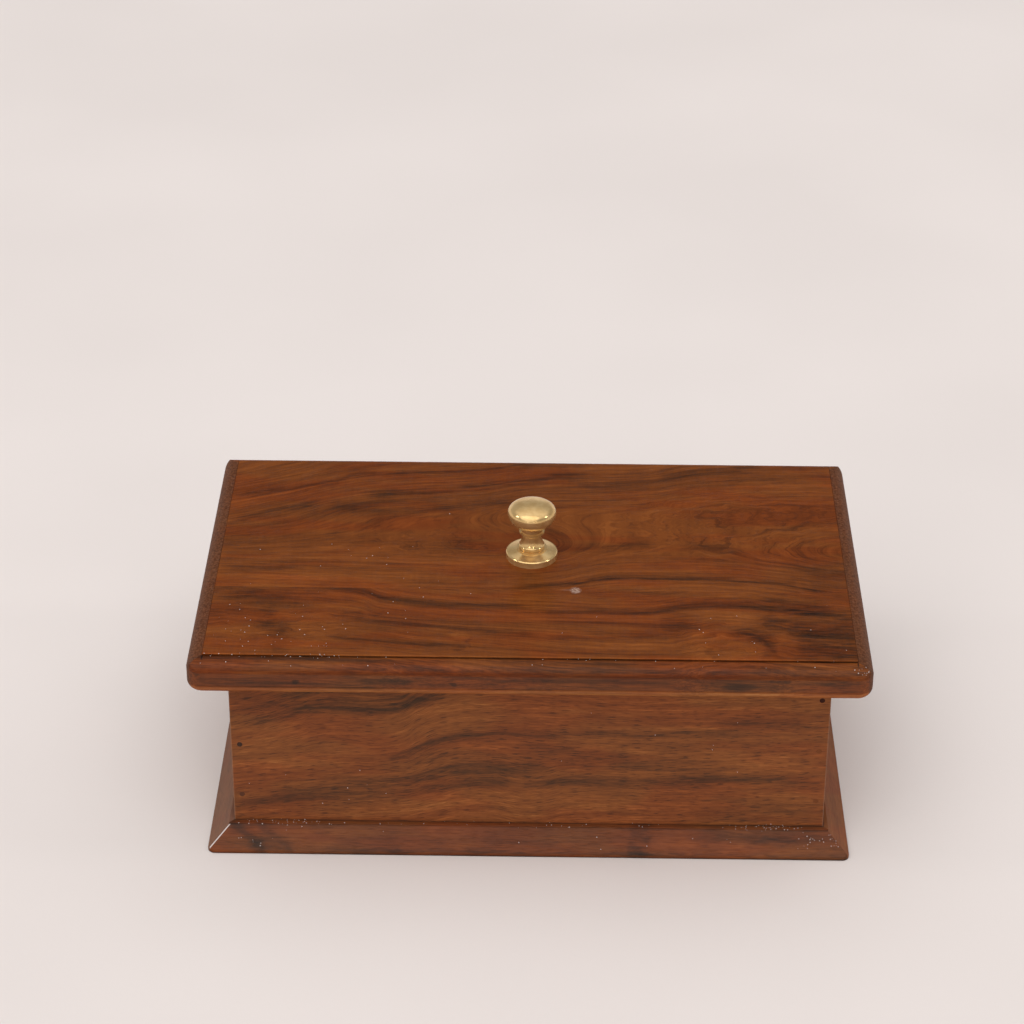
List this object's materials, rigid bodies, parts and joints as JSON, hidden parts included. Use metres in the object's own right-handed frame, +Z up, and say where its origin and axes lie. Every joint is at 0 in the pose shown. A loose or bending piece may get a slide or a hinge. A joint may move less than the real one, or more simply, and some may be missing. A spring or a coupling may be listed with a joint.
{
  "type": "storage box with lift-off lid",
  "caption": "Small wooden box for paints and brushes: lift-off lid with a moulded edge and a turned brass knob, divided inside, mitred moulding round the foot.",
  "frame": {"origin": "on the table, under the middle of the box", "axes": "+X along the front board to the right as seen from the front, +Y to the back, +Z up; the front board faces -Y"},
  "size_m": [0.305, 0.19, 0.1357],
  "materials": {
    "lid_wood": "gloss varnish",
    "body_wood": "gloss varnish",
    "plinth_wood": "gloss varnish",
    "inner_wood": "unvarnished, sanded",
    "brass": "polished",
    "steel": "plain zinc plated",
    "filler": "dark wood filler, varnished over"
  },
  "bodies": {
    "box": {"front_wall": "body_wood", "back_wall": "body_wood", "left_wall": "body_wood", "right_wall": "body_wood", "bottom_panel": "inner_wood", "plinth_front": "plinth_wood", "plinth_back": "plinth_wood", "plinth_left": "plinth_wood", "plinth_right": "plinth_wood", "wall_pins": "steel", "pin_fillers": "filler", "long_divider": "inner_wood", "cross_divider_1": "inner_wood", "cross_divider_2": "inner_wood", "cross_divider_3": "inner_wood"},
    "lid": {"lid_board_front": "lid_wood", "lid_board_back": "lid_wood", "lid_strip_front": "inner_wood", "lid_strip_back": "inner_wood", "lid_strip_left": "inner_wood", "lid_strip_right": "inner_wood", "strip_pins": "steel", "knob": "brass", "knob_rose": "brass", "knob_screw": "steel", "knob_washer": "steel"}
  },
  "joints": [
    {"name": "lid_lift", "type": "slide", "parent": "box", "child": "lid", "axis": [0, 0, 1], "range_m": [0, 0.12]}
  ]
}
